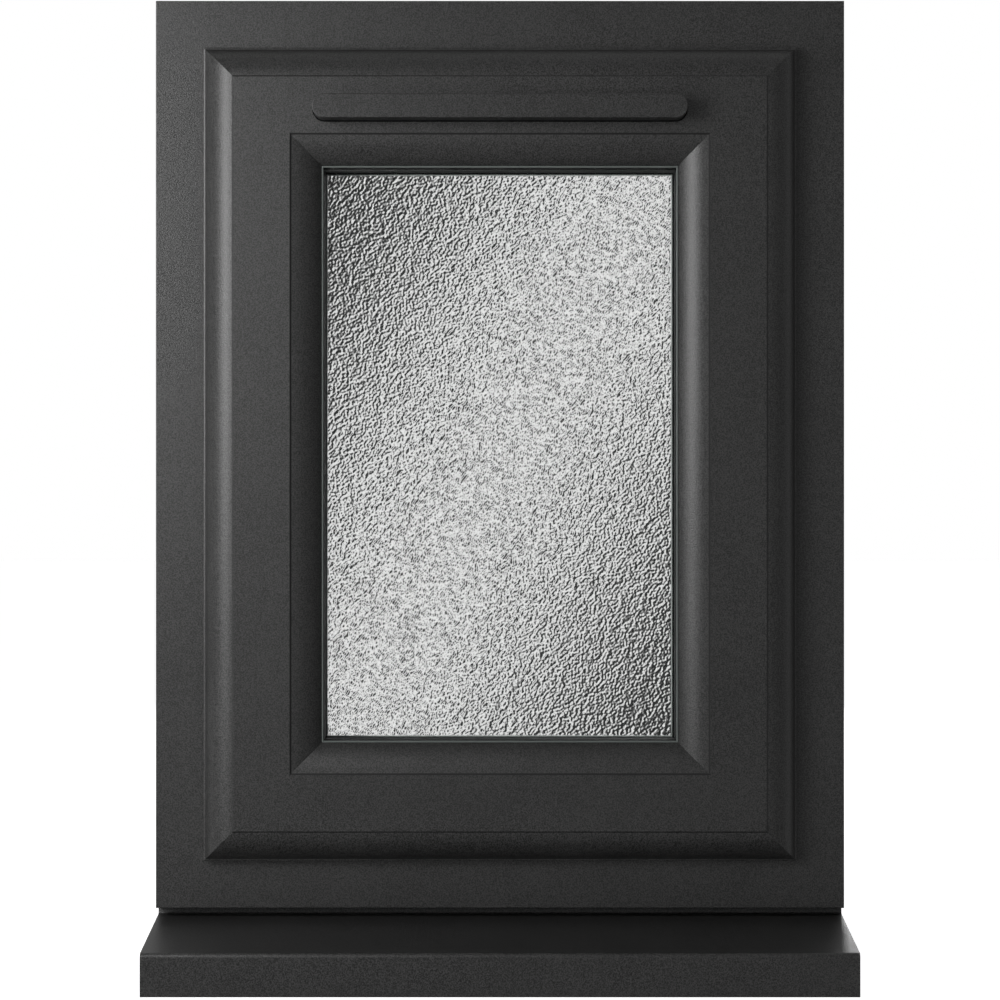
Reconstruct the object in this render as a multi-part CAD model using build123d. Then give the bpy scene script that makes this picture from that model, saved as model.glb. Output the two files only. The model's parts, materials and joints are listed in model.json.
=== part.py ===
"""Top-hung casement window in welded plastic profile, with a projecting cill and a trickle vent.

The window is drawn closed and upright. X runs along its width, +Y runs from the outside into the
room, and +Z is up. The origin is the middle of the bed under the cill, in the plane of the frame's
outside face. Every profile is drawn in one section: the first number is the distance inwards from
the frame's outer edge, and the second is the depth, which is Y. All sizes are in millimetres.
"""

import math
import os

from build123d import *

# Overall sizes
frame_width = 440
frame_height = 580
frame_depth = 70

# Outer frame section
frame_face = 40  # outside face, from the outer edge to the rebate
frame_upstand = 20  # inside leg, past the rebate
rebate_seal_gap = 3.5  # between the closed sash and the inside leg
frame_wall = 2.8
profile_web = 1.5
frame_web_depths = (13, 44)
leg_web_setback = 4.5  # behind the leg's front
fixing_channel_depths = (24, 50)
fixing_channel_mouth = 6
fixing_channel_width = 9
fixing_channel_lip = 1.6
fixing_channel_depth = 4
cut_margin = 1  # how far a cut runs past the surface it opens

# Sash section
sash_overlap = 9  # outer lip over the frame's outside face
sash_proud = 20  # raised face, in front of the frame's outside face
sash_lip_thickness = 3.6
lip_slant = 0.25  # fall of the lip's narrow flat towards its outer edge
sash_seal_gap = 3
hardware_gap = 12  # between the frame's rebate and the sash
sash_depth = 70
outer_moulding_width = 19.2
moulding_bead = 1.3  # narrow flat at the outer edge of the outer moulding
face_width = 35.5
inner_moulding_width = 20
inner_moulding_drop = 10.6
moulding_quirk = 0.8  # drop from the face to each moulding
quirk_width = 1.1
outer_moulding_start = 4  # degrees from the face
inner_moulding_start = 6
sash_wall = 2.6
shoulder_width = 10.6  # solid part under the outer moulding
sash_web_depths = (-5, 8, 36)
lip_radius = 0.9  # at the inner lip
edge_radius = 0.6

# Hardware groove round the sash
groove_middle_depth = 22
groove_mouth = 16
groove_width = 20
groove_lip = 1.6
groove_depth = 4.6

# Seals
gasket_foot_width = 3
gasket_foot_depth = 2.6
gasket_foot_inset = 6  # from the sash's inner lip
gasket_edge_inset = 2.8  # from the glass's edge
seal_radius = 1.2
lip_seal_foot_width = 1.6
lip_seal_foot_depth = 1.4

# Drainage slots in the bottom profiles
drain_length = 25
drain_width = 5
drain_inset = 5  # of the frame's slots, from its outside face
drain_spacing = 210
drain_stagger = 70  # between the slots above and below a chamber

# Glazing
glass_thickness = 4
cavity = 20
glass_gasket = 3
glass_edge_cover = 12
packer_gap = 5
spacer_width = 7
spacer_sightline = 0.4  # how far the spacer shows past the sash's inner lip
packer_length = 60
packer_width = 26
packer_corner_gap = 40  # from the glass's corner

# Glazing bead, on the room side
bead_land = 4
bead_recess = 0.5  # behind the sash's inside face
bead_drop = 10
bead_foot_length = 2.8
bead_foot_thickness = 2.8
bead_foot_inset = 3  # from the sash's inside face
bead_clearance = 0.1
bead_wall = 1.6

# Cill
cill_seat_height = 30
cill_projection = 80
cill_step_back = 15  # from the frame's outside face to the seat's front edge
cill_step = 5.6
cill_step_lean = 1
cill_slope = 6.4  # degrees
cill_nose_bottom = 12.8  # below the bed
cill_nose_width = 14
cill_nose_radius = 3
cill_step_radius = 1.5
cill_wall = 2.6
cill_web_depths = (-57, -34, -11, 14, 42)
cill_cap = 2.5
board_groove_height = 8
board_groove_width = 6
board_groove_depth = 4

# Trickle vent
vent_width = 235.6
vent_height = 15
vent_radius = 7
vent_edge_radius = 0.5
vent_projection = 14.8
vent_above_moulding = 15.2  # middle of the vent, above the inner moulding's edge
vent_wall = 1.6
vent_slot_count = 18
vent_slot_length = 9
vent_slot_width = 3.4
vent_slot_pitch = 12
vent_duct_count = 4
vent_duct_length = 46
vent_duct_height = 7
vent_duct_bridge = 8
room_vent_width = 250
room_vent_height = 20
room_vent_depth = 11
room_vent_radius = 3
room_vent_bevel = 0.8
room_slot_width = 6
room_slot_height = 9
shutter_thickness = 2
shutter_clearance = 0.2
shutter_guide_height = 2
shutter_guide_thickness = 1.2
shutter_tab_length = 24
shutter_tab_height = 3
shutter_tab_proud = 3

# Handle
handle_plate_length = 74
handle_plate_height = 27
handle_plate_depth = 9
handle_plate_radius = 12
handle_plate_bevel = 2
handle_neck_radius = 10
handle_neck_length = 15
handle_lever_length = 118
handle_lever_root = 20
handle_lever_tip = 13
handle_lever_thickness = 10
handle_lever_bevel = 2.5
lock_radius = 6
lock_proud = 2.5
lock_offset = 25  # from the handle's spindle
key_slot_length = 6
key_slot_width = 1.4
key_slot_depth = 2

# Friction stays, in the gap at each side of the sash
stay_track_length = 250
stay_track_width = 19
stay_track_thickness = 2.4
stay_track_lip = 2.6
stay_track_base = 1.2
stay_shoe_length = 34
stay_arm_width = 15
stay_arm_thickness = 2.2
stay_arm_length = 175
stay_bar_length = 140
stay_corner_gap = 6
stay_rivet_radius = 3

# Espagnolette, in the sash's bottom groove
bolt_plate_length = 300
bolt_plate_thickness = 2.6
bolt_plate_clearance = 0.2
cam_distance = 176  # from one cam to the other
cam_radius = 4
cam_stem_radius = 2.6
cam_head = 2
cam_length = 7.5
keep_length = 42
keep_thickness = 2.5
keep_width = 18
keep_hook_thickness = 3
keep_hook_height = 9

# Derived lines of the section, from the frame's outer edge inwards
rebate_line = frame_face
upstand_line = frame_face + frame_upstand
lip_line = frame_face - sash_overlap
sash_line = rebate_line + hardware_gap
face_outer_line = lip_line + moulding_bead + outer_moulding_width
face_inner_line = face_outer_line + face_width
inner_lip_line = face_inner_line + inner_moulding_width
glass_line = inner_lip_line - glass_edge_cover
floor_line = glass_line - packer_gap
spacer_line = inner_lip_line + spacer_sightline

# Derived depths of the section, from the frame's outside face into the room
lip_back_depth = -sash_seal_gap
lip_front_depth = lip_back_depth - sash_lip_thickness
lip_edge_depth = lip_front_depth + lip_slant
face_depth = -sash_proud
sash_back_depth = face_depth + sash_depth
upstand_depth = sash_back_depth + rebate_seal_gap
moulding_depth = face_depth + moulding_quirk
inner_lip_depth = moulding_depth + inner_moulding_drop
glass_front = 0
glass_back = glass_front + 2 * glass_thickness + cavity
leg_back_depth = glass_front - glass_gasket
bead_front_depth = glass_back + glass_gasket
bead_back_depth = sash_back_depth - bead_recess

# Derived heights
frame_bottom = cill_seat_height
frame_top = frame_bottom + frame_height
vent_line = face_inner_line - vent_above_moulding
vent_middle = frame_top - vent_line
handle_line = (upstand_line + floor_line) / 2
handle_middle = frame_bottom + handle_line

parts = {}


def outline(*points):
    """A flat face with straight sides."""
    return make_face(Polyline(*points, close=True))


def block(low, high):
    """A rectangle between two opposite corners."""
    (x0, y0), (x1, y1) = low, high
    return Pos((x0 + x1) / 2, (y0 + y1) / 2) * Rectangle(abs(x1 - x0), abs(y1 - y0))


def box_between(low, high):
    """A box between two opposite corners."""
    middle = [(a + b) / 2 for a, b in zip(low, high)]
    return Pos(*middle) * Box(*[abs(b - a) for a, b in zip(low, high)])


def rounded(section, radius, *corners):
    """The section with the named corners rounded."""
    chosen = [section.vertices().sort_by_distance(corner)[0] for corner in corners]
    return fillet(chosen, radius)


def hollowed(section, room, webs, grooves, wall):
    """A profile with its chambers: the room inside the walls, less the webs and each groove's backing."""
    chambers = room
    for web in webs:
        chambers -= web
    for groove in grooves:
        chambers -= offset(groove, wall, kind=Kind.INTERSECTION)
        section -= groove
    return section - chambers


def webs_at(depths):
    """Cross webs of a profile, each parallel to the outside face."""
    reach = frame_width
    half = profile_web / 2
    return [block((-reach, depth - half), (reach, depth + half)) for depth in depths]


def frame_section():
    """The outer frame: a box section with an inside leg that the sash closes against."""
    section = outline(
        (0, 0),
        (rebate_line, 0),
        (rebate_line, upstand_depth),
        (upstand_line, upstand_depth),
        (upstand_line, frame_depth),
        (0, frame_depth),
    )
    section = rounded(
        section,
        edge_radius,
        (0, 0),
        (rebate_line, 0),
        (upstand_line, upstand_depth),
        (upstand_line, frame_depth),
        (0, frame_depth),
    )
    wall = frame_wall
    body = block((wall, wall), (rebate_line - wall, frame_depth - wall))
    leg_web_depth = upstand_depth + leg_web_setback
    leg = block((wall, leg_web_depth), (upstand_line - wall, frame_depth - wall))
    grooves = [fixing_channel(depth) for depth in fixing_channel_depths]
    grooves.append(frame_seal_groove())
    webs = webs_at((*frame_web_depths, leg_web_depth))
    return hollowed(section, body + leg, webs, grooves, profile_web)


def fixing_channel(depth):
    """An undercut channel in the frame's outer edge, for clips and fixing cleats."""
    half_mouth = fixing_channel_mouth / 2
    half_width = fixing_channel_width / 2
    mouth = block((-cut_margin, depth - half_mouth), (fixing_channel_lip, depth + half_mouth))
    hollow = block(
        (fixing_channel_lip, depth - half_width),
        (fixing_channel_depth, depth + half_width),
    )
    return mouth + hollow


def frame_seal_groove():
    """The groove in the inside leg that holds the rebate seal's foot."""
    middle = sash_line + gasket_foot_width / 2
    return block(
        (middle - gasket_foot_width / 2, upstand_depth - cut_margin),
        (middle + gasket_foot_width / 2, upstand_depth + gasket_foot_depth),
    )


def sash_section():
    """The sash: a raised face between two convex mouldings, an outer lip, and a rebate for the glass."""
    bead_edge = lip_line + moulding_bead
    outer_foot = (face_outer_line - quirk_width, moulding_depth)
    inner_foot = (face_inner_line + quirk_width, moulding_depth)
    outer_start = math.radians(outer_moulding_start)
    inner_start = math.radians(inner_moulding_start)
    outer_moulding = TangentArc(
        outer_foot,
        (bead_edge, lip_front_depth),
        tangent=(-math.cos(outer_start), math.sin(outer_start)),
    )
    inner_moulding = TangentArc(
        inner_foot,
        (inner_lip_line, inner_lip_depth),
        tangent=(math.cos(inner_start), math.sin(inner_start)),
    )
    face = Polyline(
        outer_foot, (face_outer_line, face_depth), (face_inner_line, face_depth), inner_foot
    )
    back = Polyline(
        (inner_lip_line, inner_lip_depth),
        (inner_lip_line, leg_back_depth),
        (floor_line, leg_back_depth),
        (floor_line, sash_back_depth),
        (sash_line, sash_back_depth),
        (sash_line, lip_back_depth),
        (lip_line, lip_back_depth),
        (lip_line, lip_edge_depth),
        (bead_edge, lip_front_depth),
    )
    section = make_face(outer_moulding + face + inner_moulding + back)
    section = rounded(section, lip_radius, (inner_lip_line, inner_lip_depth))
    section = rounded(
        section,
        edge_radius,
        (lip_line, lip_edge_depth),
        (lip_line, lip_back_depth),
        (sash_line, sash_back_depth),
    )
    grooves = [hardware_groove(), bead_groove(), glass_seal_groove(), lip_seal_foot(cut_margin)]
    return hollowed(section, sash_room(), webs_at(sash_web_depths), grooves, profile_web)


def sash_room():
    """The space inside the sash's walls, which follows its two mouldings."""
    wall = sash_wall
    shoulder = lip_line + moulding_bead + shoulder_width
    top = face_depth + wall
    return outline(
        (shoulder, lip_back_depth - wall),
        (face_outer_line + wall, top),
        (face_inner_line - wall, top),
        (floor_line + wall, leg_back_depth - wall * 2),
        (floor_line + wall, leg_back_depth - wall),
        (floor_line - wall, leg_back_depth - wall),
        (floor_line - wall, sash_back_depth - wall),
        (sash_line + wall, sash_back_depth - wall),
        (sash_line + wall, lip_back_depth - wall),
    )


def hardware_groove():
    """The undercut groove round the sash's edge that takes the stays and the espagnolette."""
    half_mouth = groove_mouth / 2
    half_width = groove_width / 2
    middle = groove_middle_depth
    mouth = block(
        (sash_line - cut_margin, middle - half_mouth), (sash_line + groove_lip, middle + half_mouth)
    )
    hollow = block(
        (sash_line + groove_lip, middle - half_width),
        (sash_line + groove_depth, middle + half_width),
    )
    return mouth + hollow


def bead_groove():
    """The groove in the glazing rebate that the bead's foot clips into."""
    back = sash_back_depth - bead_foot_inset
    front = back - bead_foot_thickness - bead_clearance * 2
    return block((floor_line - bead_foot_length - bead_clearance, front), (floor_line + cut_margin, back))


def glass_seal_groove():
    """The groove in the sash's outside leg that holds the outer glazing gasket's foot."""
    inner = inner_lip_line - gasket_foot_inset
    return block(
        (inner - gasket_foot_width, leg_back_depth - gasket_foot_depth),
        (inner, leg_back_depth + cut_margin),
    )


def bead_section():
    """The room-side glazing bead: a convex edge towards the glass, and a foot that clips into the sash."""
    foot_back = sash_back_depth - bead_foot_inset - bead_clearance
    foot_front = foot_back - bead_foot_thickness
    land_end = floor_line + bead_land
    moulding_start = bead_back_depth - moulding_quirk
    moulding_end = moulding_start - bead_drop
    heel = bead_front_depth + packer_gap
    moulding = TangentArc((land_end, moulding_start), (inner_lip_line, moulding_end), tangent=(1, 0))
    front = Polyline(
        (inner_lip_line, moulding_end),
        (inner_lip_line, bead_front_depth),
        (glass_line, bead_front_depth),
        (floor_line, heel),
        (floor_line, foot_front),
        (floor_line - bead_foot_length, foot_front),
        (floor_line - bead_foot_length, foot_back),
        (floor_line, foot_back),
        (floor_line, bead_back_depth),
        (land_end, bead_back_depth),
        (land_end, moulding_start),
    )
    section = make_face(moulding + front)
    wall = bead_wall
    chamber = outline(
        (floor_line + wall, heel + wall),
        (glass_line + wall, bead_front_depth + wall),
        (inner_lip_line - wall * 2, bead_front_depth + wall),
        (inner_lip_line - wall * 2, moulding_end),
        (land_end, moulding_start - wall),
        (floor_line + wall, moulding_start - wall),
    )
    return section - chamber


def glass_seal_section():
    """The outer glazing gasket: a flat strip with a foot, showing a little past the sash's lip."""
    inner = inner_lip_line - gasket_foot_inset
    strip = block((glass_line + gasket_edge_inset, leg_back_depth), (spacer_line, glass_front))
    foot = block(
        (inner - gasket_foot_width, leg_back_depth - gasket_foot_depth), (inner, leg_back_depth)
    )
    return strip + foot


def bead_seal_section():
    """The inner glazing gasket, between the glass and the bead."""
    return block((glass_line + gasket_edge_inset, glass_back), (spacer_line, bead_front_depth))


def lip_seal_foot(margin=0):
    """The foot that holds the weather seal in the sash's outer lip, or with a margin, its groove."""
    middle = (lip_line + rebate_line) / 2
    half = lip_seal_foot_width / 2
    front = lip_back_depth - lip_seal_foot_depth
    return block((middle - half, front), (middle + half, lip_back_depth + margin))


def lip_seal_section():
    """The weather seal under the sash's outer lip: a strip with a rounded nose on the frame's face."""
    middle = (lip_line + rebate_line) / 2
    low, high = middle - sash_seal_gap / 2, middle + sash_seal_gap / 2
    strip = rounded(block((low, lip_back_depth), (high, 0)), seal_radius, (low, 0), (high, 0))
    return strip + lip_seal_foot()


def frame_seal_section():
    """The rebate seal: a strip on the frame's inside leg that the sash's back presses on."""
    middle = sash_line + gasket_foot_width / 2
    low, high = middle - gasket_foot_width, middle + gasket_foot_width
    strip = block((low, sash_back_depth), (high, upstand_depth))
    strip = rounded(strip, seal_radius, (low, sash_back_depth), (high, sash_back_depth))
    foot = block(
        (middle - gasket_foot_width / 2, upstand_depth),
        (middle + gasket_foot_width / 2, upstand_depth + gasket_foot_depth),
    )
    return strip + foot


def member(section, side):
    """One length of a profile along one side of the window, mitred at both ends."""
    half = frame_width / 2
    start, inwards, along, length = {
        "top": ((-half, 0, frame_top), (0, 0, -1), (1, 0, 0), frame_width),
        "bottom": ((half, 0, frame_bottom), (0, 0, 1), (-1, 0, 0), frame_width),
        "left": ((-half, 0, frame_bottom), (1, 0, 0), (0, 0, 1), frame_height),
        "right": ((half, 0, frame_top), (-1, 0, 0), (0, 0, -1), frame_height),
    }[side]
    reach = spacer_line + cut_margin
    mitred = Plane.XZ * outline((0, 0), (0, length), (reach, length - reach), (reach, reach))
    blank = extrude(section, length) & extrude(mitred, frame_width, both=True)
    return Plane(origin=start, x_dir=inwards, z_dir=along) * blank


def ring(section):
    """A profile that runs round all four sides in one piece."""
    whole = member(section, "top")
    for side in ("right", "bottom", "left"):
        whole += member(section, side)
    return whole


def flat_ring(outer_line, inner_line, front, back):
    """A rectangular ring with a plain section."""
    outer, inner = (pane(line, front, back) for line in (outer_line, inner_line))
    return outer - inner


def pane(line, front, back):
    """A flat sheet whose edges all lie on one line of the section."""
    half = frame_width / 2 - line
    return box_between((-half, front, frame_bottom + line), (half, back, frame_top - line))


def add_profiles():
    frame = frame_section()
    for name, side in {
        "frame_head": "top",
        "frame_bottom_rail": "bottom",
        "frame_left_jamb": "left",
        "frame_right_jamb": "right",
    }.items():
        parts[name] = member(frame, side)
    sash = sash_section()
    for name, side in {
        "sash_top_rail": "top",
        "sash_bottom_rail": "bottom",
        "sash_left_stile": "left",
        "sash_right_stile": "right",
    }.items():
        parts[name] = member(sash, side)
    bead = bead_section()
    for side in ("top", "bottom", "left", "right"):
        parts[f"glazing_bead_{side}"] = member(bead, side)
    parts["frame_rebate_seal"] = ring(frame_seal_section())
    parts["sash_lip_seal"] = ring(lip_seal_section())
    parts["outer_glazing_gasket"] = ring(glass_seal_section())
    parts["inner_glazing_gasket"] = ring(bead_seal_section())


def drain_slots(line, depth, spacing):
    """Two slots through the wall of a bottom profile, on one line of the section."""
    height = frame_bottom + line
    wall = max(frame_wall, sash_wall) + cut_margin
    slots = Box(drain_length, drain_width, 2 * wall)
    return [Pos(x, depth + drain_width / 2, height) * slots for x in spaced(2, spacing)]


def add_drainage():
    """The way out for water: from the glazing rebate to the frame's rebate, and on to the cill."""
    outlet_spacing = drain_spacing + drain_stagger
    for line, spacing in {rebate_line: drain_spacing, 0: outlet_spacing}.items():
        parts["frame_bottom_rail"] -= drain_slots(line, drain_inset, spacing)
    for line, spacing in {floor_line: outlet_spacing, sash_line: drain_spacing}.items():
        parts["sash_bottom_rail"] -= drain_slots(line, glass_front, spacing)


def add_glass():
    inner_front = glass_back - glass_thickness
    parts["glass_outer_pane"] = pane(glass_line, glass_front, glass_front + glass_thickness)
    parts["glass_inner_pane"] = pane(glass_line, inner_front, glass_back)
    bar_line = spacer_line - spacer_width
    cavity_front = glass_front + glass_thickness
    parts["glass_spacer_bar"] = flat_ring(bar_line, spacer_line, cavity_front, inner_front)
    parts["glass_edge_sealant"] = flat_ring(glass_line, bar_line, cavity_front, inner_front)


def cill_outline():
    """The cill's outer shape, across its depth and height."""
    run = cill_step_back - cill_step_lean + cill_projection
    slope_top = cill_seat_height - cill_step
    nose_top = slope_top - run * math.tan(math.radians(cill_slope))
    nose_back = cill_nose_width - cill_projection
    section = outline(
        (frame_depth, 0),
        (frame_depth, cill_seat_height),
        (cill_step_back, cill_seat_height),
        (cill_step_back - cill_step_lean, slope_top),
        (-cill_projection, nose_top),
        (-cill_projection, -cill_nose_bottom),
        (nose_back, -cill_nose_bottom),
        (nose_back, 0),
    )
    section = rounded(section, cill_nose_radius, (-cill_projection, nose_top))
    section = rounded(section, cill_step_radius, (cill_step_back - cill_step_lean, slope_top))
    return rounded(
        section, edge_radius, (-cill_projection, -cill_nose_bottom), (nose_back, -cill_nose_bottom)
    )


def cill_section():
    """The cill's section with its chambers and the groove for a window board."""
    run = cill_step_back + cill_projection
    wall = cill_wall
    slope_top = cill_seat_height - cill_step - wall
    nose_top = slope_top - run * math.tan(math.radians(cill_slope))
    nose_back = cill_nose_width - cill_projection
    room = outline(
        (frame_depth - wall, wall),
        (frame_depth - wall, cill_seat_height - wall),
        (cill_step_back + wall, cill_seat_height - wall),
        (cill_step_back + wall, slope_top),
        (wall - cill_projection, nose_top),
        (wall - cill_projection, wall - cill_nose_bottom),
        (nose_back - wall, wall - cill_nose_bottom),
        (nose_back - wall, wall),
    )
    half = profile_web / 2
    webs = [block((depth - half, 0), (depth + half, cill_seat_height)) for depth in cill_web_depths]
    board_groove = block(
        (frame_depth - board_groove_depth, board_groove_height),
        (frame_depth + cut_margin, board_groove_height + board_groove_width),
    )
    return hollowed(cill_outline(), room, webs, [board_groove], profile_web)


def add_cill():
    half = frame_width / 2
    length = frame_width - 2 * cill_cap
    parts["cill"] = extrude(Plane.YZ.offset(cill_cap - half) * cill_section(), length)
    for name, start in {"cill_end_cap_left": -half, "cill_end_cap_right": half - cill_cap}.items():
        parts[name] = extrude(Plane.YZ.offset(start) * cill_outline(), cill_cap)


def rounded_bar(width, height, radius, front, back, middle):
    """A bar with rounded corners that lies against a face, from one depth to another."""
    face = extrude(RectangleRounded(width, height, radius), back - front)
    return Plane(origin=(0, back, middle), x_dir=(1, 0, 0), z_dir=(0, -1, 0)) * face


def spaced(count, pitch):
    """Evenly spaced places on both sides of the middle."""
    return [pitch * (i - (count - 1) / 2) for i in range(count)]


def add_vent():
    """The rain hood outside, and the duct through the sash's top rail."""
    front = face_depth - vent_projection
    hood = rounded_bar(vent_width, vent_height, vent_radius, front, face_depth, vent_middle)
    hood = fillet(hood.edges().group_by(Axis.Y)[0], vent_edge_radius)
    hood -= rounded_bar(
        vent_width - 2 * vent_wall,
        vent_height - 2 * vent_wall,
        vent_radius - vent_wall,
        front + vent_wall,
        face_depth,
        vent_middle,
    )
    slot = Box(vent_slot_length, vent_slot_width, vent_height)
    slot_depth = face_depth - vent_projection / 2
    for x in spaced(vent_slot_count, vent_slot_pitch):
        hood -= Pos(x, slot_depth, vent_middle - vent_height / 2) * slot
    parts["vent_hood"] = hood

    duct = Box(vent_duct_length, sash_depth * 2, vent_duct_height)
    for x in spaced(vent_duct_count, vent_duct_length + vent_duct_bridge):
        parts["sash_top_rail"] -= Pos(x, 0, vent_middle) * duct


def add_room_vent():
    """The grille on the room side of the duct, with its sliding shutter drawn shut."""
    back = sash_back_depth + room_vent_depth
    body = rounded_bar(
        room_vent_width, room_vent_height, room_vent_radius, sash_back_depth, back, vent_middle
    )
    body = chamfer(body.edges().group_by(Axis.Y)[-1], room_vent_bevel)
    body -= rounded_bar(
        room_vent_width - 2 * vent_wall,
        room_vent_height - 2 * vent_wall,
        room_vent_radius - vent_wall,
        sash_back_depth,
        back - vent_wall,
        vent_middle,
    )
    shutter_back = back - vent_wall - shutter_clearance
    shutter_front = shutter_back - shutter_thickness
    shutter_length = room_vent_width - 2 * vent_wall - 2 * vent_slot_pitch
    room = room_vent_height / 2 - vent_wall
    reach = room - shutter_clearance
    shutter = box_between(
        (-shutter_length / 2, shutter_front, vent_middle - reach),
        (shutter_length / 2, shutter_back, vent_middle + reach),
    )
    guide_back = shutter_front - shutter_clearance
    for edge in (-room, room):
        inner_edge = math.copysign(room - shutter_guide_height, edge)
        body += box_between(
            (-shutter_length / 2, guide_back - shutter_guide_thickness, vent_middle + edge),
            (shutter_length / 2, guide_back, vent_middle + inner_edge),
        )
    tab = box_between(
        (-shutter_tab_length / 2, shutter_back, vent_middle - shutter_tab_height / 2),
        (shutter_tab_length / 2, back + shutter_tab_proud, vent_middle + shutter_tab_height / 2),
    )
    tab_way = Box(
        shutter_tab_length + vent_slot_pitch,
        room_vent_depth,
        shutter_tab_height + 2 * shutter_clearance,
    )
    slot = Box(room_slot_width, room_vent_depth, room_slot_height)
    for x in spaced(vent_slot_count, vent_slot_pitch):
        if abs(x) > (shutter_tab_length + vent_slot_pitch + room_slot_width) / 2:
            body -= Pos(x, back, vent_middle) * slot
            shutter -= Pos(x + vent_slot_pitch / 2, shutter_back, vent_middle) * slot
    parts["room_vent_body"] = body - Pos(0, back, vent_middle) * tab_way
    parts["room_vent_shutter"] = shutter + tab


def add_handle():
    """The espagnolette handle on the bottom rail, on the room side."""
    back = sash_back_depth + handle_plate_depth
    plate = rounded_bar(
        handle_plate_length, handle_plate_height, handle_plate_radius, sash_back_depth, back, handle_middle
    )
    parts["handle_plate"] = chamfer(plate.edges().group_by(Axis.Y)[-1], handle_plate_bevel)
    lever_front = back + handle_neck_length - handle_lever_thickness / 2
    neck = extrude(Circle(handle_neck_radius), lever_front - back)
    tip_radius = handle_lever_tip / 2
    tip = Pos(handle_lever_length - tip_radius, 0) * Circle(tip_radius)
    ends = Circle(handle_lever_root / 2).edges() + tip.edges()
    lever = extrude(make_hull(ends), handle_lever_thickness)
    lever = chamfer(lever.edges().group_by(Axis.Z)[-1], handle_lever_bevel)
    neck_place = Plane(origin=(0, back, handle_middle), x_dir=(1, 0, 0), z_dir=(0, 1, 0))
    lever_place = Plane(origin=(0, lever_front, handle_middle), x_dir=(1, 0, 0), z_dir=(0, 1, 0))
    parts["handle_lever"] = neck_place * neck + lever_place * lever
    lock_face = Plane(origin=(-lock_offset, back, handle_middle), x_dir=(1, 0, 0), z_dir=(0, 1, 0))
    lock = extrude(Circle(lock_radius), lock_proud)
    lock = chamfer(lock.edges().group_by(Axis.Z)[-1], edge_radius)
    key_slot = Pos(0, 0, lock_proud) * Box(key_slot_length, key_slot_width, key_slot_depth * 2)
    parts["handle_lock"] = lock_face * (lock - key_slot)


def edge_bar(side, along, low, high):
    """A bar beside a member: a length around a place along it, between two corners of the section."""
    start, end = along
    (line_low, depth_low), (line_high, depth_high) = low, high
    half = frame_width / 2
    if side == "bottom":
        return box_between(
            (start, depth_low, frame_bottom + line_low), (end, depth_high, frame_bottom + line_high)
        )
    if side == "top":
        return box_between(
            (start, depth_low, frame_top - line_low), (end, depth_high, frame_top - line_high)
        )
    sign = -1 if side == "left" else 1
    return box_between(
        (sign * (half - line_low), depth_low, start), (sign * (half - line_high), depth_high, end)
    )


def add_packers():
    """Blocks between the sealed unit's edges and the sash's rebate."""
    middle = (glass_front + glass_back) / 2
    low = (floor_line, middle - packer_width / 2)
    high = (glass_line, middle + packer_width / 2)
    half = frame_width / 2 - glass_line
    blocks = []
    for side in ("bottom", "top"):
        for sign in (-1, 1):
            near = sign * (half - packer_corner_gap)
            blocks.append(edge_bar(side, (near, near - sign * packer_length), low, high))
    window_middle = (frame_bottom + frame_top) / 2
    for side in ("left", "right"):
        along = (window_middle - packer_length / 2, window_middle + packer_length / 2)
        blocks.append(edge_bar(side, along, low, high))
    parts["glazing_packers"] = Compound(blocks)


def side_plate(sign, along, width, line_low, line_high):
    """A flat bar with round ends beside a jamb, in the middle of the hardware groove."""
    start, end = along
    origin = (sign * (frame_width / 2 - line_low), groove_middle_depth, (start + end) / 2)
    plate = extrude(SlotOverall(end - start, width), line_high - line_low)
    return Plane(origin=origin, x_dir=(0, 0, 1), z_dir=(-sign, 0, 0)) * plate


def add_stays():
    """The friction stay at the top of each side: a channelled track on the frame with its sliding
    shoe, an arm, and a bar on the sash."""
    top = frame_top - sash_line - stay_corner_gap
    middle = groove_middle_depth
    channel = stay_track_width / 2 - stay_track_lip
    track_base = rebate_line + stay_track_base
    track_inner = rebate_line + stay_track_thickness
    arm_inner = track_inner + stay_arm_thickness
    groove_floor = sash_line + groove_depth
    arm_end = top - stay_arm_length
    bar_end = top - stay_bar_length
    shoe_start = arm_end + stay_arm_width / 2 - stay_shoe_length / 2
    for side, sign in {"left": -1, "right": 1}.items():
        track = edge_bar(
            side,
            (top - stay_track_length, top),
            (rebate_line, middle - stay_track_width / 2),
            (track_inner, middle + stay_track_width / 2),
        )
        track -= edge_bar(
            side,
            (top - stay_track_length, top),
            (track_base, middle - channel),
            (track_inner, middle + channel),
        )
        shoe = edge_bar(
            side,
            (shoe_start, shoe_start + stay_shoe_length),
            (track_base, middle - channel),
            (track_inner, middle + channel),
        )
        arm = side_plate(sign, (arm_end, top), stay_arm_width, track_inner, arm_inner)
        bar = side_plate(
            sign, (bar_end, top), stay_arm_width, arm_inner + stay_arm_thickness, groove_floor
        )
        stay = track + shoe + arm + bar
        rivets = {
            arm_end: (track_base, arm_inner + stay_arm_thickness / 2),
            bar_end: (track_inner, groove_floor),
            top - stay_arm_width: (rebate_line, groove_floor),
        }
        for end, (line_low, line_high) in rivets.items():
            origin = (sign * (frame_width / 2 - line_low), middle, end + stay_arm_width / 2)
            rivet = extrude(Circle(stay_rivet_radius), line_high - line_low)
            stay += Plane(origin=origin, z_dir=(-sign, 0, 0)) * rivet
        parts[f"friction_stay_{side}"] = stay


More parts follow.
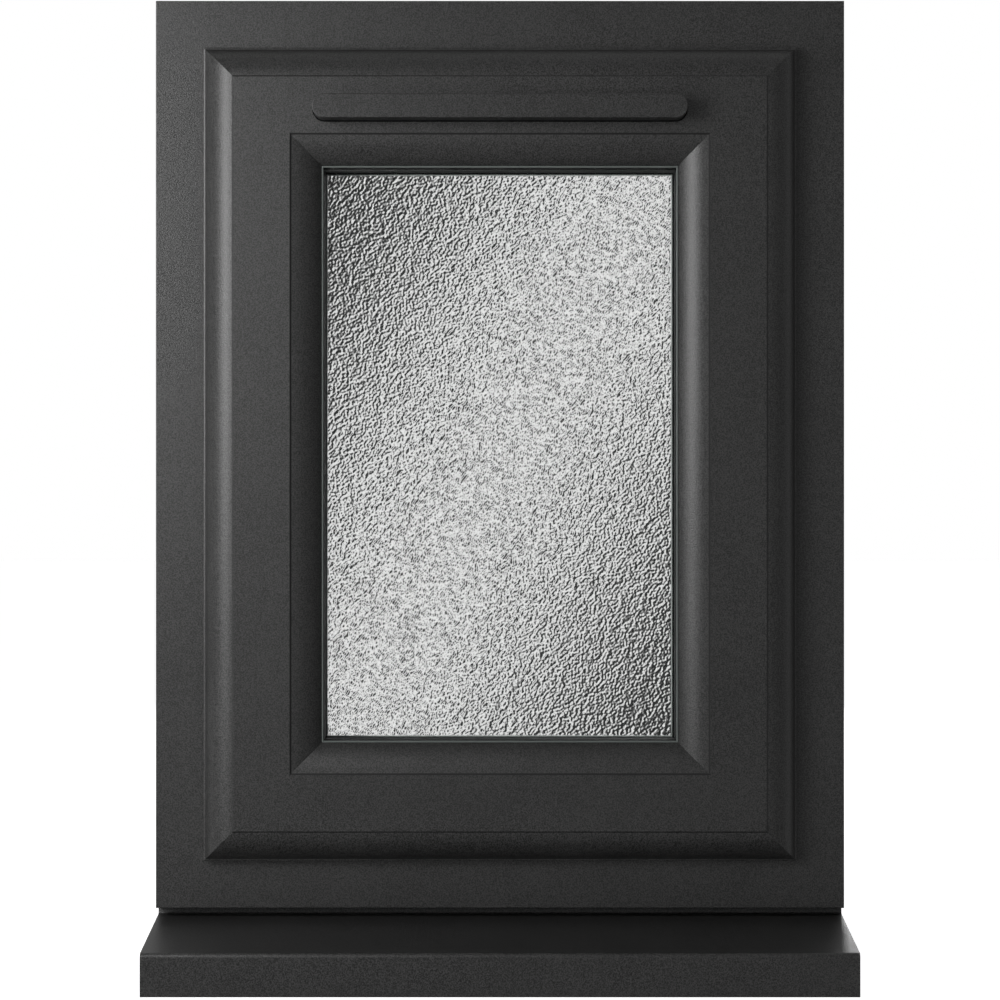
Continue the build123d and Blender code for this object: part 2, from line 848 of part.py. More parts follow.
def add_espagnolette():
    """The locking bar in the sash's bottom groove, its two mushroom cams, and their keeps."""
    bar_top = frame_bottom + sash_line + groove_depth
    cam_top = bar_top - bolt_plate_thickness
    bar_width = groove_mouth - 2 * bolt_plate_clearance
    bar = extrude(SlotOverall(bolt_plate_length, bar_width), bolt_plate_thickness)
    plate = Pos(0, groove_middle_depth, cam_top) * bar
    cam = extrude(Circle(cam_stem_radius), cam_length) + extrude(Circle(cam_radius), cam_head)
    keeps = []
    for x in spaced(2, cam_distance):
        plate += Pos(x, groove_middle_depth, cam_top - cam_length) * cam
        base = edge_bar(
            "bottom",
            (x - keep_length / 2, x + keep_length / 2),
            (rebate_line, groove_middle_depth - keep_width / 2),
            (rebate_line + keep_thickness, groove_middle_depth + keep_width / 2),
        )
        hook_depth = groove_middle_depth - cam_radius - bolt_plate_clearance
        hook = edge_bar(
            "bottom",
            (x - keep_length / 2, x + keep_length / 2),
            (rebate_line, hook_depth - keep_hook_thickness),
            (rebate_line + keep_hook_height, hook_depth),
        )
        keeps.append(base + hook)
    parts["espagnolette"] = plate
    parts["espagnolette_keeps"] = Compound(keeps)


add_profiles()
add_drainage()
add_glass()
add_packers()
add_cill()
add_vent()
add_room_vent()
add_handle()
add_stays()
add_espagnolette()

os.makedirs("parts", exist_ok=True)
for name, shape in parts.items():
    export_step(shape, f"parts/{name}.step")
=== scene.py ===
"""Finishes, small fittings, light and camera for a top-hung window in dark grey profile.

Lengths are in metres. X runs along the window's width, +Y into the room and +Z up.
"""

import json
import math

import bmesh
import bpy
from mathutils import Euler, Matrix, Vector


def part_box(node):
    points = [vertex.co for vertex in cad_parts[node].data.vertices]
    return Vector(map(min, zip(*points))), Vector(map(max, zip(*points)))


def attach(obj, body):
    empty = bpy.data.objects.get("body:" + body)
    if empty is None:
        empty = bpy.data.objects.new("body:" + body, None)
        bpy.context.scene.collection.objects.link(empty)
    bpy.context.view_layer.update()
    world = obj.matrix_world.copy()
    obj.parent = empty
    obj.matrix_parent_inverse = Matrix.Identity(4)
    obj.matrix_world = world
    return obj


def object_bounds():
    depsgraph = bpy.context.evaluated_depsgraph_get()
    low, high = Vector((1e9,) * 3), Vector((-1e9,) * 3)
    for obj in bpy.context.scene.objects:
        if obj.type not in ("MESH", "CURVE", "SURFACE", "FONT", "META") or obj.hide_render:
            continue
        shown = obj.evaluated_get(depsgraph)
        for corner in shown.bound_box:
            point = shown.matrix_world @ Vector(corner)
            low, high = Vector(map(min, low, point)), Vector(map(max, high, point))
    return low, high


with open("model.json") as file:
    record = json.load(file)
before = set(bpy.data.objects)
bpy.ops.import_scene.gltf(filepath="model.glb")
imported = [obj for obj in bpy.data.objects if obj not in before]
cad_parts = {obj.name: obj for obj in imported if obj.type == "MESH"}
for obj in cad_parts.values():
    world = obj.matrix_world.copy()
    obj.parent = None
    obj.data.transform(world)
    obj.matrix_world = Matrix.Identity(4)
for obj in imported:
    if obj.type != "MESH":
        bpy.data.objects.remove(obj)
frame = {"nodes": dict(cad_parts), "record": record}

cad_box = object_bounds()
mm = 0.001

# The photograph's view: level, square on to the window, from outside
view_distance = 1779 * mm
view_height = 290.9 * mm
lens_length = 100.2  # this and the sensor's width in millimetres
sensor_width = 36

# Colours, as linear values
profile_grey = (0.0273, 0.0273, 0.0269)
hood_grey = (0.0266, 0.0266, 0.0263)
seal_black = (0.006, 0.0065, 0.0065)
spacer_black = (0.010, 0.012, 0.0115)
seal_line_black = (0.002, 0.002, 0.002)
# The near-white line round the glass is a painted highlight
painted_highlight_green = (0.82, 0.9, 0.86)
# The lip bead's pale colour is a painted highlight
lip_bead_painted_highlight_green = (0.16, 0.18, 0.172)
pane_grey = (0.93, 0.935, 0.93)
pane_haze = (0.03, 0.036, 0.034)
handle_black = (0.012, 0.012, 0.0125)
steel_grey = (0.50, 0.50, 0.51)
zinc_grey = (0.42, 0.42, 0.41)
packer_blue = (0.05, 0.12, 0.36)
floor_white = (0.86, 0.86, 0.85)

# Turns every grain pattern off the part's flat faces, where it would fade
grain_turn = (0.5, 0.6, 0.7)

# Grain of the dark plastics and of the packers
dark_grain = {"grain": 0.8 * mm, "depth": 0.12 * mm, "roughness": 0.43, "mottle": 0.95}
packer_grain = {"grain": 0.6 * mm, "depth": 0.02 * mm, "roughness": 0.4, "mottle": 0.16}
grain_contrast = 3.6
patch_size = 60  # in grains
plastic_shine = 0.87

# Fine texture of the other finishes
dust_size = 1.5 * mm
dust_depth = 0.03 * mm
dust_lightness = 2.2
metal_depth = 0.012 * mm
metal_shade = 0.86
speck_size = 0.8 * mm
speck_shade = 0.85
smear_size = 70 * mm
pane_opacity = 0.12
glass_index = 1.5

# Relief of the patterned pane
pebble_size = 1.7 * mm
pebble_depth = 0.55 * mm
pebble_share = 0.85
ripple_size = 3.5 * pebble_size
ripple_share = 0.6

# Thin lines round the glass: the seal's black edge, a pale line inside it that is a painted
# highlight, and the bead on the sash's lip
spacer_width = 7 * mm
seal_line_width = 0.67 * mm
seal_line_slip = (-0.42 * mm, -0.38 * mm)  # sideways and up
# Width of the painted highlight round the glass
painted_highlight_width = 0.65 * mm
line_thickness = 0.2 * mm
# The bead along the sash's inner lip, whose pale colour is a painted highlight
lip_bead_radius = 0.6 * mm
lip_bead_reach = 0.25 * mm
lip_bead_depth = -8.9 * mm
lip_bead_sides = 10

# Gasket under the rain hood; where it reaches past the hood's edge it is a painted contact shadow
hood_radius = 7 * mm
corner_steps = 10
hood_gasket_and_shadow_reach = 0.75 * mm
hood_gasket_and_shadow_hidden = 0.3 * mm
hood_gasket_and_shadow_thickness = 0.4 * mm

# The sash's quirks: the narrow grooves at both edges of its flat face, from the sash's outer edge,
# with painted shade in them
outer_quirk = 19.95 * mm
inner_quirk = 56.55 * mm
quirk_width = 1.1 * mm
quirk_back = -15 * mm  # shaded only in front of this depth
# Painted shade in the quirks: its strength in each, how dark it paints the foil and how much duller
outer_shade = 0.3
inner_shade = 0.95
shade_darkness = 0.1
shade_dullness = 0.4

# The vent's mesh, and the ribs of its shutter
mesh_half_width = 113 * mm
mesh_half_height = 5.4 * mm
mesh_pitch = 1.8 * mm
mesh_wire = 0.35 * mm
rib_pitch = 2.5 * mm
rib_width = 0.9 * mm
rib_length = 3 * mm
rib_rise = 0.4 * mm
ribs_each_side = 4

# Screws: heads, and where they sit on the solids
screw_sides = 20
screw_taper = 0.7
screw_height = 1.0 * mm
cross_length = 3.2 * mm
cross_width = 0.8 * mm
vent_screw_radius = 3.2 * mm
stay_screw_radius = 3.6 * mm
bolt_screw_radius = 3.0 * mm
vent_screw_reach = 118.2 * mm
stay_screw_heights = (314 * mm, 350 * mm)
stay_track_base = 1.2 * mm
keep_screw_reaches = (73 * mm, 103 * mm)
keep_screw_offset = 3 * mm  # from the groove's middle, towards the room
keep_thickness = 2.5 * mm
bolt_screw_reaches = (40 * mm, 135 * mm)
bolt_plate_thickness = 2.6 * mm

# The studio's light
band_angle = math.radians(61)
band_rise = 0.0144
band_period = 0.42
band_sharpness = 5
band_dark = 0.02
band_light = 1.12
soft_light_low = -0.6
soft_light_high = 0.15
soft_light_level = 0.60
soft_light_lean = 1.2  # more of it from the left
front_gloss = 0.19
back_gloss = 0.5
floor_reach = 12
lamp_aim = (0, 0, 0.3)
lamps = {  # place, width and power
    "key_lamp": ((-0.62, -0.66, 0.60), 0.45, 3.5),
    "low_key_lamp": ((-0.70, -0.62, 0.35), 0.45, 1.3),
    "far_key_lamp": ((-1.60, -1.10, 0.80), 0.8, 1.2),
    "front_lamp": ((0.3, -2.4, 0.4), 1.2, 0.5),
    "room_lamp": ((0.15, 2.2, 0.75), 0.8, 14),
}

# Which way the upper side of a small fitting is turned
quarter = math.pi / 2
facing_up = Euler((0, 0, 0))
facing_down = Euler((2 * quarter, 0, 0))
facing_outside = Euler((quarter, 0, 0))
facing_room = Euler((-quarter, 0, 0))
facing_right = Euler((0, quarter, 0))
facing_left = Euler((0, -quarter, 0))

# Sockets of the colour Mix node
mix_low, mix_high, mix_result = 6, 7, 2


class Number:
    """A number worked out by a node tree. Arithmetic on it adds Math nodes to the tree."""

    def __init__(self, owner, socket):
        self.owner = owner
        self.socket = socket

    def math(self, operation, *values, clamp=False):
        sockets = dict(enumerate(values))
        settings = {"operation": operation, "use_clamp": clamp}
        return self.owner.number("ShaderNodeMath", settings, sockets)

    def __add__(self, other):
        return self.math("ADD", self, other)

    def __mul__(self, other):
        return self.math("MULTIPLY", self, other)

    def __sub__(self, other):
        return self.math("SUBTRACT", self, other)

    def __rsub__(self, other):
        return self.math("SUBTRACT", other, self)

    def __gt__(self, other):
        return self.math("GREATER_THAN", self, other)

    def __lt__(self, other):
        return self.math("LESS_THAN", self, other)

    def power(self, other):
        return self.math("POWER", self, other)

    def cosine(self):
        return self.math("COSINE", self)

    def magnitude(self):
        return self.math("ABSOLUTE", self)

    def at_least(self, other):
        return self.math("MAXIMUM", self, other)

    def at_most(self, other):
        return self.math("MINIMUM", self, other)

    def clamped(self):
        return self.math("ADD", self, 0.0, clamp=True)

    def between(self, low, high):
        """The low value where this number is 0, and the high value where it is 1."""
        return self * (high - low) + low


class Tree:
    """A node tree in the making."""

    def __init__(self, tree):
        self.tree = tree
        tree.nodes.clear()

    def node(self, kind, settings=None, sockets=None):
        """A node of any kind. Its settings come first, and then its sockets' values or links."""
        made = self.tree.nodes.new(kind)
        for name, value in (settings or {}).items():
            setattr(made, name, value)
        for key, value in (sockets or {}).items():
            self.feed(made.inputs[key], value)
        return made

    def feed(self, socket, value):
        if isinstance(value, Number):
            self.tree.links.new(value.socket, socket)
        elif isinstance(value, bpy.types.NodeSocket):
            self.tree.links.new(value, socket)
        elif isinstance(value, tuple) and socket.type == "RGBA":
            socket.default_value = (*value, 1)
        else:
            socket.default_value = value

    def number(self, kind, settings=None, sockets=None):
        return Number(self, self.node(kind, settings, sockets).outputs[0])

    def numbers(self, vector):
        """The three parts of a vector."""
        split = self.node("ShaderNodeSeparateXYZ", None, {0: vector})
        return [Number(self, output) for output in split.outputs]


class Finish(Tree):
    """A material or a world in the making, with the surface's own coordinates."""

    def __init__(self, name, owner=None):
        self.owner = owner or bpy.data.materials.new(name)
        self.owner.use_nodes = True
        super().__init__(self.owner.node_tree)

    def place(self):
        """The point on the surface, in metres, from the part's own origin."""
        return self.node("ShaderNodeTexCoord").outputs["Object"]

    def noise(self, grain, detail=2.0, roughness=0.5, stretch=(1, 1, 1)):
        """Soft noise whose features are about one grain across."""
        turned = {"Vector": self.place(), "Scale": stretch, "Rotation": grain_turn}
        spread = self.node("ShaderNodeMapping", None, turned)
        sockets = {
            "Vector": spread.outputs[0],
            "Scale": 1 / grain,
            "Detail": detail,
            "Roughness": roughness,
        }
        return self.number("ShaderNodeTexNoise", None, sockets)

    def quirk(self, line):
        """1 in the sash's quirk at a line, where shade is painted, and 0 elsewhere."""
        across, depth, up = self.numbers(self.place())
        beside = sash_half_width - across.magnitude()
        above = sash_half_height - (up - sash_middle).magnitude()
        off_line = (beside.at_most(above) - line).magnitude()
        return (off_line < quirk_width / 2) * (depth < quirk_back)

    def blend(self, low, high, amount):
        """A colour between two others."""
        sockets = {0: amount, mix_low: low, mix_high: high}
        return self.node("ShaderNodeMix", {"data_type": "RGBA"}, sockets).outputs[mix_result]

    def bump(self, height, depth):
        sockets = {"Height": height, "Distance": depth, "Strength": 1.0}
        return self.node("ShaderNodeBump", None, sockets).outputs[0]

    def surface(self, **sockets):
        """Ends the tree in one main shader. Underscores stand for spaces in its sockets' names."""
        named = {name.replace("_", " "): value for name, value in sockets.items()}
        shader = self.node("ShaderNodeBsdfPrincipled", None, named)
        self.node("ShaderNodeOutputMaterial", None, {"Surface": shader.outputs[0]})
        return self.owner


class Growth(Tree):
    """A Geometry Nodes tree in the making, with a named input for each size and the finish."""

    def __init__(self, name, *labels):
        super().__init__(bpy.data.node_groups.new(name, "GeometryNodeTree"))
        self.names = {}
        self.add_socket("Points", "NodeSocketGeometry")
        for label in labels:
            self.add_socket(label, "NodeSocketFloat")
        self.add_socket("Finish", "NodeSocketMaterial")
        self.add_socket("Piece", "NodeSocketGeometry", "OUTPUT")
        self.given = self.node("NodeGroupInput").outputs
        self.sizes = [Number(self, self.given[label]) for label in labels]

    def add_socket(self, label, kind, way="INPUT"):
        socket = self.tree.interface.new_socket(label, in_out=way, socket_type=kind)
        self.names[label] = socket.identifier

    def triple(self, x, y, z):
        return self.node("ShaderNodeCombineXYZ", None, {0: x, 1: y, 2: z}).outputs[0]

    def block(self, x, y, z, lift):
        """A block of the given sides, its middle raised by a lift."""
        cube = self.node("GeometryNodeMeshCube", None, {"Size": self.triple(x, y, z)}).outputs[0]
        raised = {"Geometry": cube, "Translation": self.triple(0.0, 0.0, lift)}
        return self.node("GeometryNodeTransform", None, raised).outputs[0]

    def grow(self, shape):
        """Puts the shape on every point, as one plain mesh in one finish."""
        sockets = {"Points": self.given["Points"], "Instance": shape}
        placed = self.node("GeometryNodeInstanceOnPoints", None, sockets)
        real = self.node("GeometryNodeRealizeInstances", None, {0: placed.outputs[0]})
        finish = {"Geometry": real.outputs[0], "Material": self.given["Finish"]}
        done = self.node("GeometryNodeSetMaterial", None, finish)
        self.node("NodeGroupOutput", None, {0: done.outputs[0]})

    def piece(self, name, slot, points, facing, **sizes):
        """A piece in its slot's finish, with the tree's shape on each point and facing one way."""
        mesh = bpy.data.meshes.new(name)
        turn = facing.to_matrix()
        mesh.from_pydata([turn.inverted() @ Vector(point) for point in points], [], [])
        piece = bpy.data.objects.new(name, mesh)
        bpy.context.scene.collection.objects.link(piece)
        modifier = piece.modifiers.new(name, "NODES")
        modifier.node_group = self.tree
        modifier[self.names["Finish"]] = finishes[slot]
        for label, value in sizes.items():
            modifier[self.names[label.replace("_", " ")]] = value
        grown = piece.evaluated_get(bpy.context.evaluated_depsgraph_get())
        piece.data = bpy.data.meshes.new_from_object(grown)
        piece.modifiers.clear()
        piece.data.transform(turn.to_4x4())
        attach(piece, "root")


def scaled(colour, factor):
    return tuple(channel * factor for channel in colour)


def grained_plastic(name, colour, grain, depth, roughness, mottle, quirks=()):
    """Plastic with a fine grain that is lighter on its high spots, and painted shade in given
    quirks.
    """
    finish = Finish(name)
    fine = finish.noise(grain, detail=1.0, roughness=0.6)
    patches = finish.noise(grain * patch_size)
    amount = ((fine - 0.5) * grain_contrast + patches.between(0.35, 0.65)).clamped()
    tone = finish.blend(scaled(colour, 1 - mottle), scaled(colour, 1 + mottle), amount)
    dullness = fine.between(roughness - 0.1, roughness + 0.1)
    # Painted shade: the foil is darker and duller inside each given quirk
    for line, strength in quirks:
        shade = finish.quirk(line) * strength
        tone = finish.blend(tone, scaled(colour, shade_darkness), shade)
        dullness = shade * shade_dullness + dullness
    return finish.surface(
        Base_Color=tone,
        Roughness=dullness,
        Specular_IOR_Level=plastic_shine,
        Normal=finish.bump(fine, depth),
    )


def soft_rubber(name, colour):
    """Rubber with a little pale dust on it."""
    finish = Finish(name)
    dust = finish.noise(dust_size, detail=3.0)
    return finish.surface(
        Base_Color=finish.blend(colour, scaled(colour, dust_lightness), dust.power(2.0)),
        Roughness=dust.between(0.55, 0.75),
        Normal=finish.bump(dust, dust_depth),
    )


def satin_metal(name, colour, roughness, metallic=1.0, grain=0.5 * mm, brush=(1, 1, 1)):
    """Metal or paint with a fine grain, drawn out along the axes whose brush value is small."""
    finish = Finish(name)
    fine = finish.noise(grain, detail=3.0, roughness=0.6, stretch=brush)
    return finish.surface(
        Base_Color=finish.blend(scaled(colour, metal_shade), colour, fine),
        Metallic=metallic,
        Roughness=fine.between(roughness - 0.07, roughness + 0.07),
        Normal=finish.bump(fine, metal_depth),
    )


def plain_finish(name, colour, roughness, shine=0.5):
    """A nearly even finish for thin lines."""
    finish = Finish(name)
    speck = finish.noise(speck_size)
    return finish.surface(
        Base_Color=finish.blend(scaled(colour, speck_shade), colour, speck),
        Roughness=speck.between(roughness, roughness + 0.1),
        Specular_IOR_Level=shine,
    )


def clear_pane():
    """A thin clear pane that lets light into the cavity behind it."""
    finish = Finish("clear_pane")
    smear = finish.noise(smear_size, detail=3.0)
    return finish.surface(
        Base_Color=pane_haze,
        Roughness=smear.between(0.02, 0.06),
        Alpha=pane_opacity,
        IOR=glass_index,
    )


def patterned_pane():
    """Obscured glass with a pebbled face on the side of the cavity."""
    finish = Finish("patterned_pane")
    pebbles = finish.noise(pebble_size, detail=0.0)
    ripple = finish.noise(ripple_size, detail=1.0)
    depth = finish.numbers(finish.place())[1]
    height = (pebbles * pebble_share + ripple * ripple_share) * (depth < pane_middle)
    return finish.surface(
        Base_Color=pane_grey,
        Roughness=pebbles * 0.02,
        Transmission_Weight=1.0,
        IOR=glass_index,
        Normal=finish.bump(height, pebble_depth),
    )


# Places on the part, read from its solids
inner_pane_low, inner_pane_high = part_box("glass_inner_pane")
pane_middle = (inner_pane_low.y + inner_pane_high.y) / 2
bar_low, bar_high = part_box("glass_spacer_bar")
hood_low, hood_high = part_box("vent_hood")
hood_middle = (hood_low.z + hood_high.z) / 2
sash_low, sash_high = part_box("sash_left_stile")
sash_half_width = -sash_low.x
sash_half_height = (sash_high.z - sash_low.z) / 2
sash_middle = (sash_high.z + sash_low.z) / 2

finishes = {
    "grey_profile": grained_plastic("grey_profile_foil", profile_grey, **dark_grain),
    "vent_plastic": grained_plastic("vent_moulding", hood_grey, **dark_grain),
    "black_seal": soft_rubber("black_seal_rubber", seal_black),
    "spacer_metal": satin_metal("spacer_coating", spacer_black, roughness=0.45, metallic=0.3),
    "clear_glass": clear_pane(),
    "patterned_glass": patterned_pane(),
    "handle_metal": satin_metal("handle_paint", handle_black, 0.34, metallic=0.0, grain=0.4 * mm),
    "lock_metal": satin_metal("lock_plating", zinc_grey, roughness=0.25),
    "hardware_steel": satin_metal("hardware_plating", steel_grey, 0.38, brush=(1, 1, 0.08)),
    "packer_plastic": grained_plastic("packer_moulding", packer_blue, **packer_grain),
}
# The sash's foil, with painted shade in its two quirks
quirks = ((outer_quirk, outer_shade), (inner_quirk, inner_shade))
sash_foil_painted_shade = grained_plastic("sash_profile_foil", profile_grey, **dark_grain, quirks=quirks)
for part in frame["record"]["subparts"]:
    node = frame["nodes"][part["node"]]
    finish = finishes[part["material_slot"]]
    if part["node"].startswith("sash_") and finish == finishes["grey_profile"]:
        finish = sash_foil_painted_shade
    node.data.materials.clear()
    node.data.materials.append(finish)


def join_loops(name, material, loops):
    """A closed piece through a ring of loops, each with as many points as the next."""
    count = len(loops[0])
    faces = []
    for k in range(len(loops)):
        this, following = k * count, (k + 1) % len(loops) * count
        for i in range(count):
            j = (i + 1) % count
            faces.append((this + i, this + j, following + j, following + i))
    mesh = bpy.data.meshes.new(name)
    mesh.from_pydata([point for loop in loops for point in loop], [], faces)
    solid = bmesh.new()
    solid.from_mesh(mesh)
    bmesh.ops.recalc_face_normals(solid, faces=solid.faces)
    solid.to_mesh(mesh)
    solid.free()
    mesh.materials.append(material)
    piece = bpy.data.objects.new(name, mesh)
    bpy.context.scene.collection.objects.link(piece)
    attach(piece, "root")


def rectangle(half_width, half_height, middle, depth, slip=(0, 0)):
    """The corners of an upright rectangle, slipped sideways and up from the window's middle."""
    signs = ((-1, -1), (1, -1), (1, 1), (-1, 1))
    return [
        (x * half_width + slip[0], depth, middle + z * half_height + slip[1]) for x, z in signs
    ]


def rounded_rectangle(half_width, half_height, radius, middle, depth):
    """The points round an upright rectangle with rounded corners."""
    points = []
    for corner, (x, z) in enumerate(((1, 1), (-1, 1), (-1, -1), (1, -1))):
        for i in range(corner_steps + 1):
            turn = quarter * (corner + i / corner_steps)
            points.append((
                x * (half_width - radius) + radius * math.cos(turn),
                depth,
                middle + z * (half_height - radius) + radius * math.sin(turn),
            ))
    return points


def add_glass_lines():
    """The seal's black edge and, inside it, a pale line that is a painted highlight of light
    through the pane's edge, on the cavity face of the inner pane.
    """
    half_width = bar_high.x - spacer_width
    half_height = (bar_high.z - bar_low.z) / 2 - spacer_width
    middle = (bar_high.z + bar_low.z) / 2
    back = inner_pane_low.y
    front = back - line_thickness

    def line(name, finish, outer, inner):
        loops = []
        for (inset, slip), depth in ((outer, front), (inner, front), (inner, back), (outer, back)):
            loops.append(rectangle(half_width - inset, half_height - inset, middle, depth, slip))
        join_loops(name, finish, loops)

    edge = (0, (0, 0))
    seam = (seal_line_width, seal_line_slip)
    end = (seal_line_width + painted_highlight_width, seal_line_slip)
    black = plain_finish("seal_edge_finish", seal_line_black, roughness=0.6, shine=0.0)
    # Painted highlight: a near-white strip stands in for light through the pane's edge
    pale = plain_finish("pale_edge_finish", painted_highlight_green, roughness=0.4)
    line("seal_edge", black, edge, seam)
    line("painted_highlight_edge", pale, seam, end)


def add_lip_bead():
    """The smooth bead along the sash's inner lip, whose pale colour is a painted highlight."""
    half_width = -sash_high.x - lip_bead_reach
    half_height = sash_half_height - (sash_high.x - sash_low.x) - lip_bead_reach
    loops = []
    for i in range(lip_bead_sides):
        turn = 2 * math.pi * i / lip_bead_sides
        inset, rise = lip_bead_radius * math.cos(turn), lip_bead_radius * math.sin(turn)
        depth = lip_bead_depth + rise
        loops.append(rectangle(half_width - inset, half_height - inset, sash_middle, depth))
    # Painted highlight: the bead's pale colour stands in for the light it catches
    finish = plain_finish("lip_bead_finish", lip_bead_painted_highlight_green, roughness=0.28)
    join_loops("lip_bead", finish, loops)


def add_hood_gasket_and_shadow():
    """The thin black gasket under the edge of the rain hood, reaching past that edge as a painted
    contact shadow.
    """
    half_width, half_height = hood_high.x, (hood_high.z - hood_low.z) / 2
    out, back = hood_gasket_and_shadow_reach, -hood_gasket_and_shadow_hidden
    loops = []
    for reach, side in ((out, 0), (out, 1), (back, 1), (back, 0)):
        depth = hood_high.y - side * hood_gasket_and_shadow_thickness
        wide, high, radius = half_width + reach, half_height + reach, hood_radius + reach
        loops.append(rounded_rectangle(wide, high, radius, hood_middle, depth))
    # Black with no shine: past the hood's edge the ring is painted contact shadow
    foam = plain_finish("hood_gasket_foam", seal_black, roughness=0.8, shine=0.0)
    join_loops("hood_gasket_and_shadow", foam, loops)


def both_sides(*reaches):
    """Each distance to the left and to the right of the window's middle."""
    return [side * reach for side in (-1, 1) for reach in reaches]


def add_screws():
    """Cross-headed screws in the vent, the stays' tracks, the keeps and the bolt's plate."""
    growth = Growth("screw_heads", "Head Radius", "Head Height", "Cross Length", "Cross Width")
    radius, height, length, width = growth.sizes
    sides = {
        "Vertices": screw_sides,
        "Radius Top": radius * screw_taper,
        "Radius Bottom": radius,
        "Depth": height,
    }
    head = growth.node("GeometryNodeMeshCone", None, sides).outputs["Mesh"]
    bars = {"Mesh 1": head, "Mesh 2": growth.block(length, width, height, height)}
    cut = growth.node("GeometryNodeMeshBoolean", {"operation": "DIFFERENCE"}, bars)
    growth.feed(cut.inputs["Mesh 2"], growth.block(width, length, height, height))
    growth.grow(cut.outputs["Mesh"])

    vent_low, vent_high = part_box("room_vent_body")
    stay_low, stay_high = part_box("friction_stay_left")
    vent_middle = (vent_low.z + vent_high.z) / 2
    groove = (stay_low.y + stay_high.y) / 2
    track = -stay_low.x - stay_track_base
    keep_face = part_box("espagnolette_keeps")[0].z + keep_thickness
    keep_depth = groove + keep_screw_offset
    bolt_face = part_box("espagnolette")[1].z - bolt_plate_thickness
    vent = [(x, vent_high.y, vent_middle) for x in both_sides(vent_screw_reach)]
    left = [(-track, groove, z) for z in stay_screw_heights]
    right = [(track, groove, z) for z in stay_screw_heights]
    keeps = [(x, keep_depth, keep_face) for x in both_sides(*keep_screw_reaches)]
    bolt = [(x, groove, bolt_face) for x in both_sides(*bolt_screw_reaches)]
    groups = {
        "vent_screws": (vent, facing_room, vent_screw_radius),
        "stay_screws_left": (left, facing_right, stay_screw_radius),
        "stay_screws_right": (right, facing_left, stay_screw_radius),
        "keep_screws": (keeps, facing_up, bolt_screw_radius),
        "bolt_screws": (bolt, facing_down, bolt_screw_radius),
    }
    for name, (points, facing, size) in groups.items():
        growth.piece(
            name,
            "hardware_steel",
            points,
            facing,
            Head_Radius=size,
            Head_Height=screw_height,
            Cross_Length=cross_length,
            Cross_Width=cross_width,
        )


def add_bars():
    """The insect mesh inside the rain hood, and the ribs on the shutter's grip."""
    growth = Growth("bars", "Across", "Along", "Thick")
    across, along, thick = growth.sizes
    growth.grow(growth.block(across, along, thick, thick * 0.5))
    columns = int(mesh_half_width / mesh_pitch)
    rows = int(mesh_half_height / mesh_pitch)
    growth.piece(
        "vent_mesh_uprights",
        "hardware_steel",
        [(i * mesh_pitch, hood_high.y, hood_middle) for i in range(-columns, columns + 1)],
        facing_outside,
        Across=mesh_wire,
        Along=mesh_half_height * 2,
        Thick=mesh_wire,
    )
    behind = hood_high.y - mesh_wire
    growth.piece(
        "vent_mesh_levels",
        "hardware_steel",
        [(0, behind, hood_middle + i * mesh_pitch) for i in range(-rows, rows + 1)],
        facing_outside,
        Across=mesh_half_width * 2,
        Along=mesh_wire,
        Thick=mesh_wire,
    )
    shutter_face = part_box("room_vent_shutter")[1].y
    ribs = range(-ribs_each_side, ribs_each_side + 1)
    growth.piece(
        "shutter_ribs",
        "vent_plastic",
        [(i * rib_pitch, shutter_face, hood_middle) for i in ribs],
        facing_room,
        Across=rib_width,
        Along=rib_length,
        Thick=rib_rise,
    )


def add_floor():
    """A pale floor that shows white to the camera and throws no light on the part."""
    low = cad_box[0][2]
    signs = ((-1, -1), (1, -1), (1, 1), (-1, 1))
    corners = [(x * floor_reach, y * floor_reach, low) for x, y in signs]
    mesh = bpy.data.meshes.new("studio_floor")
    mesh.from_pydata(corners, [], [(0, 1, 2, 3)])
    floor = bpy.data.objects.new("studio_floor", mesh)
    bpy.context.scene.collection.objects.link(floor)
    finish = Finish("floor_paint")
    plain = finish.node("ShaderNodeBsdfDiffuse", None, {"Color": floor_white})
    seen = finish.node("ShaderNodeLightPath").outputs["Is Camera Ray"]
    glow = finish.node("ShaderNodeEmission", None, {"Color": (1, 1, 1), "Strength": seen})
    both = finish.node("ShaderNodeAddShader", None, {0: plain.outputs[0], 1: glow.outputs[0]})
    finish.node("ShaderNodeOutputMaterial", None, {"Surface": both.outputs[0]})
    mesh.materials.append(finish.owner)
    floor.visible_diffuse = False
    floor.visible_glossy = False
    floor.visible_transmission = False


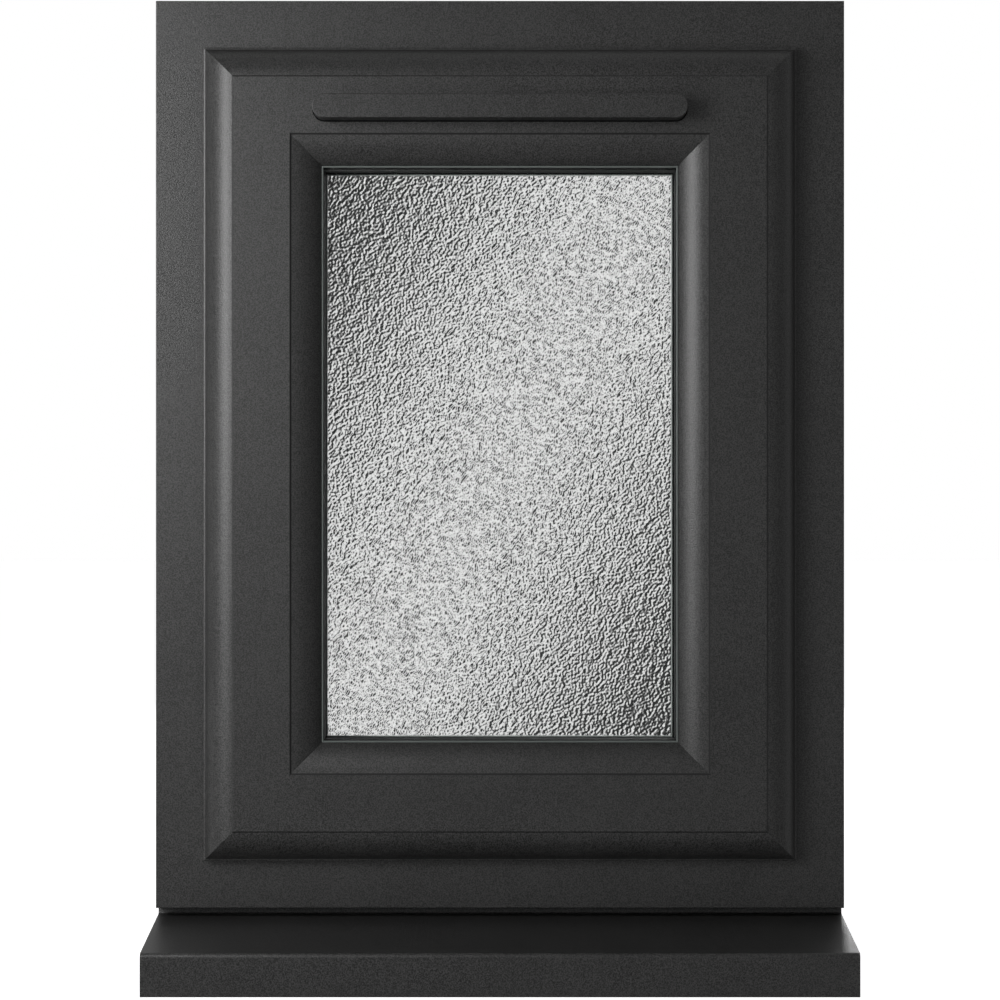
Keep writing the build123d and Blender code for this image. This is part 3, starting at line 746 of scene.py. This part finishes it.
def add_world():
    """White to the camera, soft to the part, and a broad band of light seen through the glass."""
    world = bpy.data.worlds.new("studio")
    bpy.context.scene.world = world
    world.cycles.sampling_method = "NONE"
    finish = Finish("studio", owner=world)
    path = finish.node("ShaderNodeLightPath")
    seen = Number(finish, path.outputs["Is Camera Ray"])
    shiny = Number(finish, path.outputs["Is Glossy Ray"])
    through = Number(finish, path.outputs["Is Transmission Ray"])
    direction = finish.node("ShaderNodeTexCoord").outputs["Generated"]
    east, north, up = finish.numbers(direction)
    across = east * math.sin(band_angle) - (up - band_rise) * math.cos(band_angle)
    wave = (across * (2 * math.pi / band_period)).cosine().between(0.5, 1)
    band = wave.power(band_sharpness) * band_light + band_dark
    lean = (soft_light_level - east * soft_light_lean).at_least(0.0)
    soft = (up > soft_light_low) * (up < soft_light_high) * lean
    gloss = (north > 0).between(front_gloss, back_gloss)
    lit = shiny * gloss + (1 - shiny) * soft
    level = seen + (1 - seen) * (through * band + (1 - through) * lit)
    background = finish.node("ShaderNodeBackground", None, {"Color": (1, 1, 1), "Strength": level})
    finish.node("ShaderNodeOutputWorld", None, {"Surface": background.outputs[0]})


def add_lamps():
    """Round lamps that all point at the window and aren't seen through the glass."""
    for name, (place, width, power) in lamps.items():
        light = bpy.data.lights.new(name, "AREA")
        light.shape = "DISK"
        light.size = width
        light.energy = power
        lamp = bpy.data.objects.new(name, light)
        lamp.location = place
        lamp.rotation_euler = (Vector(lamp_aim) - Vector(place)).to_track_quat("-Z", "Y").to_euler()
        lamp.visible_transmission = False
        bpy.context.scene.collection.objects.link(lamp)


def add_camera():
    data = bpy.data.cameras.new("view")
    data.lens = lens_length
    data.sensor_width = sensor_width
    camera = bpy.data.objects.new("view", data)
    camera.location = (0, -view_distance, view_height)
    camera.rotation_euler = facing_outside
    bpy.context.scene.collection.objects.link(camera)
    bpy.context.scene.camera = camera


add_glass_lines()
add_lip_bead()
add_hood_gasket_and_shadow()
add_screws()
add_bars()
add_floor()
add_world()
add_lamps()
add_camera()
bpy.context.scene.view_settings.view_transform = "Standard"
